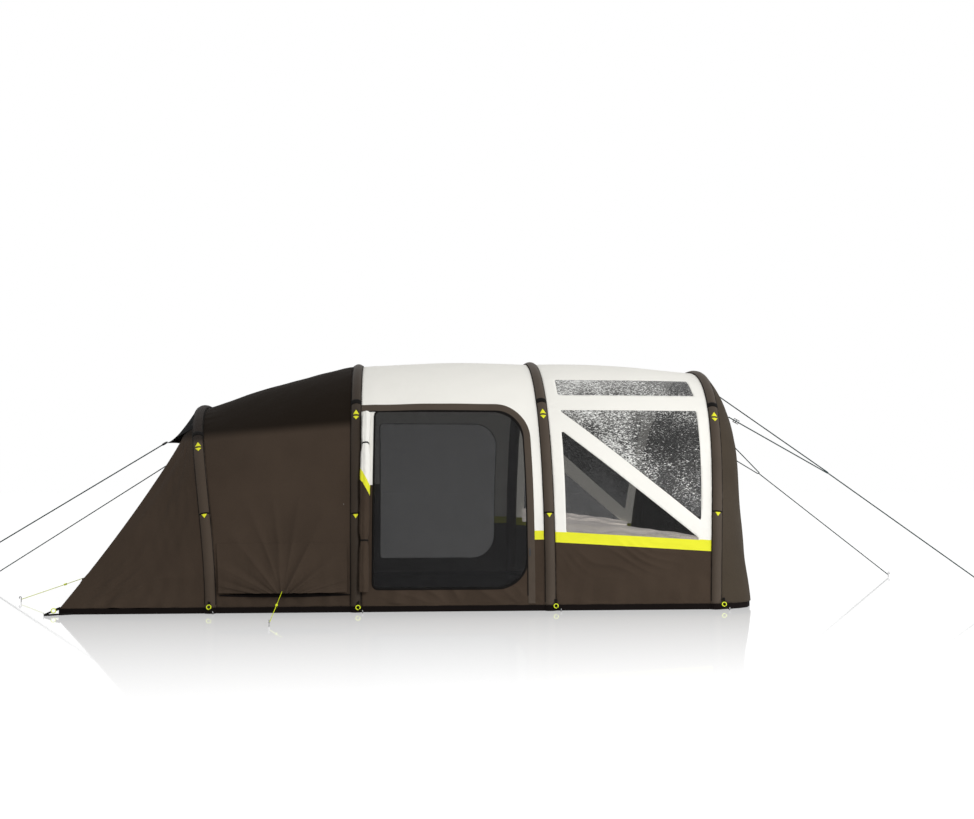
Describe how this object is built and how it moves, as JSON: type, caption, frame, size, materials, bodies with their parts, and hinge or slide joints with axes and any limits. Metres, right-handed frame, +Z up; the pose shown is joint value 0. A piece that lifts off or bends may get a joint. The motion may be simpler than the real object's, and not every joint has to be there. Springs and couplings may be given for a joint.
{
  "type": "inflatable tunnel tent",
  "caption": "Tunnel tent held up by inflated arches in fabric sleeves, with a sewn fly, side doors, windows, a bedroom end, vent hoods and pegged guy ropes.",
  "frame": {"origin": "on the ground on the tent's centre line, at the resting point in the middle of the floor", "axes": "+X from the sloping bedroom end to the upright front, +Y from the side with the valves to the far side, +Z up"},
  "size_m": [9.193, 4.2858, 2.102],
  "materials": {
    "brown_fabric": "coated plain-weave polyester, dark brown",
    "white_fabric": "coated plain-weave polyester, off-white",
    "black_fabric": "black laminated groundsheet",
    "divider_fabric": "light breathable lining cloth, grey",
    "bladder_film": "airtight film tube",
    "clear_film": "clear window film, lightly crinkled",
    "insect_mesh": "fine black insect mesh",
    "neon_cord": "braided cord, bright yellow-green",
    "neon_plastic": "moulded plastic, bright yellow-green",
    "black_cord": "braided cord, black",
    "black_plastic": "moulded plastic, black",
    "steel": "bare steel rod"
  },
  "bodies": {
    "tent": {"bedroom_air_beam": "bladder_film", "bedroom_beam_sleeve": "brown_fabric", "bedroom_divider": "divider_fabric", "bedroom_roof": "brown_fabric", "bedroom_wall_far": "brown_fabric", "bedroom_wall_near": "brown_fabric", "clear_window_far": "clear_film", "clear_window_near": "clear_film", "door_air_beam": "bladder_film", "door_beam_sleeve": "brown_fabric", "door_roof": "white_fabric", "door_wall_far": "white_fabric", "door_wall_near": "white_fabric", "front_air_beam": "bladder_film", "front_beam_sleeve": "brown_fabric", "front_bridle_far": "black_cord", "front_bridle_near": "black_cord", "front_peg_far": "steel", "front_peg_near": "steel", "front_rope_far": "black_cord", "front_rope_near": "black_cord", "front_wall": "brown_fabric", "groundsheet": "black_fabric", "mesh_window_far": "insect_mesh", "mesh_window_near": "insect_mesh", "rear_air_beam": "bladder_film", "rear_beam_sleeve": "brown_fabric", "rear_peg_far": "steel", "rear_peg_near": "steel", "rear_rope_far": "black_cord", "rear_rope_near": "black_cord", "rear_side_panel_far": "brown_fabric", "rear_side_panel_near": "brown_fabric", "rear_vent_guy": "neon_cord", "rear_vent_hood": "brown_fabric", "rear_vent_peg": "steel", "rear_visor": "brown_fabric", "rear_wall": "brown_fabric", "rolled_door_far": "white_fabric", "rolled_door_near": "white_fabric", "side_vent_guy": "neon_cord", "side_vent_hood_far": "brown_fabric", "side_vent_hood_near": "brown_fabric", "side_vent_peg": "steel", "skylight_far": "clear_film", "skylight_near": "clear_film", "window_roof": "white_fabric", "window_wall_far": "white_fabric", "window_wall_near": "white_fabric"},
    "near_mesh_door": {"mesh_door_near": "insect_mesh"},
    "far_mesh_door": {"mesh_door_far": "insect_mesh"},
    "near_slider": {"zip_slider_near": "black_plastic"},
    "far_slider": {"zip_slider_far": "black_plastic"},
    "front_flap": {"front_door": "brown_fabric"},
    "rear_cap": {"rear_valve_cap": "black_plastic"},
    "bedroom_cap": {"bedroom_valve_cap": "black_plastic"},
    "door_cap": {"door_valve_cap": "black_plastic"},
    "front_cap": {"front_valve_cap": "black_plastic"},
    "side_tensioner": {"side_vent_tensioner": "neon_plastic"},
    "rear_tensioner": {"rear_vent_tensioner": "neon_plastic"}
  },
  "joints": [
    {"name": "mesh_door_near_swing", "type": "hinge", "parent": "tent", "child": "near_mesh_door", "pos_m": [-0.308, -1.80521, 0.22941], "axis": [0, -0.347, -0.9378], "range_deg": [0, 90]},
    {"name": "mesh_door_far_swing", "type": "hinge", "parent": "tent", "child": "far_mesh_door", "pos_m": [-0.308, 1.80521, 0.22941], "axis": [0, -0.347, 0.9378], "range_deg": [0, 90]},
    {"name": "zip_slider_near_travel", "type": "slide", "parent": "tent", "child": "near_slider", "axis": [0, 0.1175, 0.9931], "range_m": [-0.15, 0.07]},
    {"name": "zip_slider_far_travel", "type": "slide", "parent": "tent", "child": "far_slider", "axis": [0, -0.1175, 0.9931], "range_m": [-0.15, 0.07]},
    {"name": "front_door_swing", "type": "hinge", "parent": "tent", "child": "front_flap", "pos_m": [2.7673, -0.432, 0.1], "axis": [0, 0, -1], "range_deg": [0, 90]},
    {"name": "rear_valve_cap_lift", "type": "hinge", "parent": "tent", "child": "rear_cap", "pos_m": [-1.54904, -1.56192, 0.29979], "axis": [0.9968, 0.0089, 0.0801], "range_deg": [0, 150]},
    {"name": "bedroom_valve_cap_lift", "type": "hinge", "parent": "tent", "child": "bedroom_cap", "pos_m": [-0.42844, -1.56491, 0.32891], "axis": [1, 0.0006, 0.0076], "range_deg": [0, 150]},
    {"name": "door_valve_cap_lift", "type": "hinge", "parent": "tent", "child": "door_cap", "pos_m": [1.09, -1.56508, 0.3313], "axis": [1, 0, 0], "range_deg": [0, 150]},
    {"name": "front_valve_cap_lift", "type": "hinge", "parent": "tent", "child": "front_cap", "pos_m": [2.41811, -1.56462, 0.32637], "axis": [0.9991, -0.0035, -0.043], "range_deg": [0, 150]},
    {"name": "side_tensioner_travel", "type": "slide", "parent": "tent", "child": "side_tensioner", "axis": [-0.0209, -0.9799, -0.1981], "range_m": [-0.28, 0.34]},
    {"name": "rear_tensioner_travel", "type": "slide", "parent": "tent", "child": "rear_tensioner", "axis": [-0.9247, 0.2116, -0.3166], "range_m": [-0.14, 0.32]}
  ]
}
